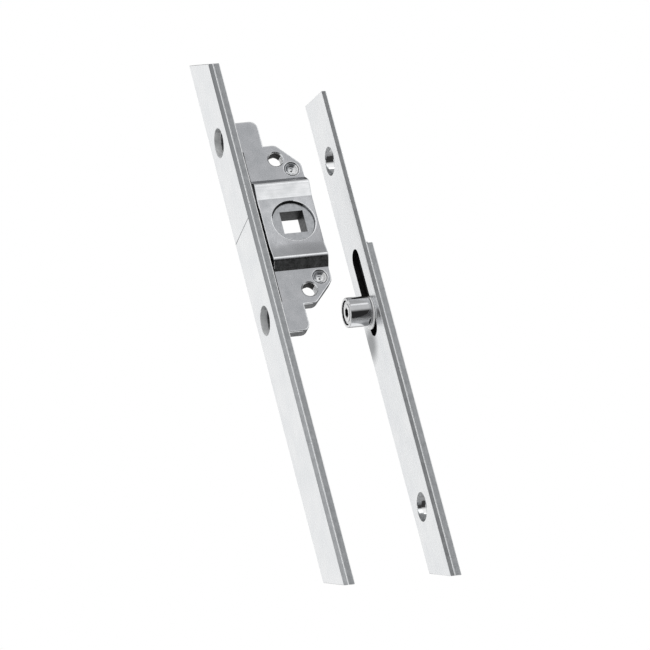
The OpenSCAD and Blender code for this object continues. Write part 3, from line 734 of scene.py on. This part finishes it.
# Threads of the handle screw holes: M5 with its 0.8 mm pitch
screwThread = {
    "root": 2.12, "crest": 1.92, "pitch": 0.8, "flank": 0.42, "turns": 3.0, "steps": 36,
    "coats": {"bare": "cutThread", "inShade": "threadShadeBlack"},
}


def cutThread(number, height, look):
    bm = bmesh.new()
    start = -look["pitch"] * look["turns"] / 2
    profile = ((-look["flank"], look["root"]), (0, look["crest"]), (look["flank"], look["root"]))
    corners = [bm.verts.new(Vector((start + along * look["pitch"], 0, height + radius)) * mm)
               for along, radius in profile]
    outline = [bm.edges.new((corners[i - 1], corners[i])) for i in range(3)]
    bmesh.ops.spin(bm, geom=corners + outline, cent=Vector((0, 0, height)) * mm, axis=(1, 0, 0),
                   dvec=(look["pitch"] / look["steps"] * mm, 0, 0), angle=math.tau * look["turns"],
                   steps=int(look["steps"] * look["turns"]), use_merge=False, use_duplicate=False)
    bmesh.ops.holes_fill(bm, edges=bm.edges, sides=3)
    bmesh.ops.recalc_face_normals(bm, faces=bm.faces)
    for face in bm.faces:
        middle = face.calc_center_median() / mm
        turn = math.degrees(math.atan2(middle.z - height, middle.y))
        # the upper side of the thread: painted shade
        coatFace(face, look["coats"], "inShade" if isIn(turn, screwHole["paintedShade"]) else "bare")
    placePiece(bm, f"handle_screw_thread_{number}", look["coats"], bodyOf["case_shell_front"],
               creaseDeg=70)


for number, height in enumerate((screwHole["height"], -screwHole["height"])):
    cutThread(number, height, screwThread)
print("rivets headed and threads cut")


# Cups of the gear faceplate: a blasted wall with painted shade at the top, a bright turned ring, and a corner
# and floor painted dark as painted shade. The angles run in degrees from the handle side over the top.
gearCup = {
    "heights": (29.4, -29.4), "face": -15.0, "outer": 4.37, "mouth": 4.35, "inner": 4.1, "corner": 0.1,
    "ring": 0.3, "ringDraft": 0.03, "well": 2.78, "depth": 2.4, "back": 3.49, "shade": (74, 104), "steps": 96,
    "coats": {"wall": "blastedCup", "floor": "greaseAndShadeZinc", "ring": "headedSteel", "shade": "shadedCup"},
}


def stakeCups(look):
    bm = bmesh.new()
    cornerTop = look["depth"] - look["corner"]
    ringTop = cornerTop - look["ring"]
    outline = (
        (look["outer"], 0.0), (look["outer"], look["back"]), (look["well"], look["back"]),
        (look["well"], look["depth"]), (look["inner"] - look["corner"], look["depth"]),
        (look["inner"], cornerTop), (look["inner"] + look["ringDraft"], ringTop), (look["mouth"], 0.0),
    )
    for height in look["heights"]:
        turnOutline(bm, outline, (0, look["face"], height), (0, 1, 0), (1, 0, 0), look["steps"])
    for face in bm.faces:
        middle = face.calc_center_median() / mm
        height = middle.z - math.copysign(look["heights"][0], middle.z)
        depth = middle.y - look["face"]
        turn = math.degrees(math.atan2(height, middle.x))
        onFloor = math.hypot(middle.x, height) < look["inner"] - 0.12
        # floor and corner: painted shade
        if onFloor or isIn(depth, (cornerTop, look["depth"])):
            coatFace(face, look["coats"], "floor")
        elif isIn(depth, (ringTop, cornerTop)):
            coatFace(face, look["coats"], "ring")
        else:
            coatFace(face, look["coats"], "shade" if isIn(turn, look["shade"]) else "wall")
    piece = placePiece(bm, "case_studs_turned", look["coats"], bodyOf["case_studs"])
    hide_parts("case_studs")


stakeCups(gearCup)


# Sleeves of the locking faceplate's screw holes: a mirror wall with painted shade at its top and foot, and a
# thin ledge at the back for the screw's head. The lower one ends in a neck for the retaining washer. The
# angles run in degrees from the handle side over the top.
sleeve = {
    "upperHeight": 20.1, "lowerHeight": -93.3, "lowerNeck": 4.0,
    "face": 16.6, "outer": 4.37, "inner": 4.25, "lip": 0.02, "floor": 2.84, "back": 2.95, "hole": 3.5,
    "neck": 3.98, "top": (54, 133), "foot": (-175, -50), "steps": 96,
    "coats": {"mirror": "chromedSleeve", "top": "shadedSleeveTop", "foot": "shadedSleeveFoot"},
}


def turnSleeve(nodeName, height, neck, look):
    bm = bmesh.new()
    outline = [(look["outer"], 0.0), (look["outer"], look["back"])]
    if neck:
        outline += [(look["neck"], look["back"]), (look["neck"], neck), (look["hole"], neck)]
    else:
        outline.append((look["hole"], look["back"]))
    outline += [(look["hole"], look["floor"]), (look["inner"], look["floor"]), (look["inner"], look["lip"])]
    turnOutline(bm, outline, (0, look["face"], height), (0, 1, 0), (1, 0, 0), look["steps"])
    for face in bm.faces:
        middle = face.calc_center_median() / mm
        turn = math.degrees(math.atan2(middle.z - height, middle.x))
        reach = math.hypot(middle.x, middle.z - height)
        onWall = abs(face.normal.y) < facing and reach < look["inner"] + 0.05
        # top and foot of the wall: painted reflection and shade
        if onWall and isIn(turn, look["top"]):
            coatFace(face, look["coats"], "top")
        elif onWall and isIn(turn, look["foot"]):
            coatFace(face, look["coats"], "foot")
    piece = placePiece(bm, nodeName + "_turned", look["coats"], bodyOf[nodeName])
    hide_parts(nodeName)


turnSleeve("upper_screw_bush", sleeve["upperHeight"], None, sleeve)
turnSleeve("lower_screw_bush", sleeve["lowerHeight"], sleeve["lowerNeck"], sleeve)
print("cups and sleeves turned")


# Washers, ring and cam bush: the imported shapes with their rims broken, each by its width in mm
brokenRims = {
    "rod_retaining_washer": ("darkSpringSteel", 0.10),
    "cam_bush": ("headedSteel", 0.08),
    "cam_spring_washer": ("darkSpringSteel", 0.05),
    "cam_washer": ("brightWasher", 0.06),
    "roller_retaining_ring": ("brightWasher", 0.08),
}


def anyRim(p):
    return True


for nodeName, (metal, width) in brokenRims.items():
    dressNode(nodeName, {"whole": metal}, [(width, 2, anyRim)])


# Pin: its end is painted near white as painted highlight, as bright as its ring, and its socket is painted
# dark as painted shade
rollerHeight = -29.5        # of the axis that the pin's end and the roller share
pin = {
    "round": 0.08, "front": 9.8, "socket": 12.8, "socketReach": 1.6,
    "coats": {"shank": "polishedTurnedSteel", "socket": "greaseAndShadeZinc", "end": "brightWasher"},
}


def paintPin(normal, middle):
    # the end: painted highlight; the socket: painted shade
    if middle.y < pin["front"] and normal.y < -facing:
        return "end"
    nearAxis = math.hypot(middle.x, middle.z - rollerHeight) < pin["socketReach"]
    return "socket" if nearAxis and middle.y < pin["socket"] else "shank"


dressNode("cam_pin", pin["coats"], [(pin["round"], 2, anyRim)], paintPin)
print("bushes and cam dressed")


# Roller: hardened and ground, with rounded rims, a bright front and a recess for the ring painted dark as
# painted shade
roller = {
    "front": 9.46, "back": 16.15, "radius": 4.36, "rim": 0.42, "rimSteps": 6,
    "recess": 3.6, "recessRim": 0.08, "depth": 0.85, "bore": 2.65, "steps": 96,
    "coats": {"barrel": "polishedTurnedSteel", "front": "brightWasher", "recess": "greaseAndShadeZinc"},
}


def turnRoller(look):
    bm = bmesh.new()
    front, back, rim, recess = look["front"], look["back"], look["rim"], look["recess"]
    floor = front + look["depth"]
    outline = [(look["bore"], back), (look["bore"], floor), (recess, floor),
               (recess, front + look["recessRim"]), (recess + look["recessRim"], front)]
    slants = [math.radians(90 / look["rimSteps"] * step) for step in range(look["rimSteps"] + 1)]
    outline += [(look["radius"] - rim + rim * math.sin(a), front + rim - rim * math.cos(a)) for a in slants]
    outline += [(look["radius"] - rim + rim * math.cos(a), back - rim + rim * math.sin(a)) for a in slants]
    turnOutline(bm, outline, (0, 0, rollerHeight), (0, 1, 0), (1, 0, 0), look["steps"])
    for face in bm.faces:
        middle = face.calc_center_median() / mm
        reach = math.hypot(middle.x, middle.z - rollerHeight)
        # the recess: painted shade
        if isIn(reach, (look["bore"] + 0.1, recess + 0.02)):
            coatFace(face, look["coats"], "recess")
        elif middle.y < front + 0.1:
            coatFace(face, look["coats"], "front")
    piece = placePiece(bm, "cam_roller_ground", look["coats"], bodyOf["cam_roller"])
    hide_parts("cam_roller")


turnRoller(roller)
print("roller turned")


# Floor: a pale table far below, out of the camera's picture
ground = {
    "depth": -2.6, "radius": 1.0, "steps": 96,      # metres
    "colour": "#e9e8e5", "patch": "#f1f0ee", "patchScale": 6.0, "patchDetail": 2.0, "roughness": 0.7,
}


def layFloor(look):
    bm = bmesh.new()
    bmesh.ops.create_circle(bm, cap_ends=True, segments=look["steps"], radius=look["radius"])
    bmesh.ops.translate(bm, verts=bm.verts, vec=(0, 0, look["depth"]))
    mesh = bpy.data.meshes.new("floor")
    bm.to_mesh(mesh)
    bm.free()
    floor = bpy.data.objects.new("floor", mesh)
    bpy.context.scene.collection.objects.link(floor)
    paint = bpy.data.materials.new("paleTable")
    paint.use_nodes = True
    tree = paint.node_tree
    tree.nodes.clear()
    spot = addNode(tree, "ShaderNodeTexNoise", {"Scale": look["patchScale"], "Detail": look["patchDetail"]})
    tone = addNode(tree, "ShaderNodeMix",
                   {0: spot.outputs[0], 6: toLinear(look["colour"]), 7: toLinear(look["patch"])},
                   data_type="RGBA")
    shader = addNode(tree, "ShaderNodeBsdfPrincipled",
                     {"Base Color": tone.outputs[2], "Roughness": look["roughness"]})
    addNode(tree, "ShaderNodeOutputMaterial", {"Surface": shader.outputs[0]})
    mesh.materials.append(paint)


layFloor(ground)
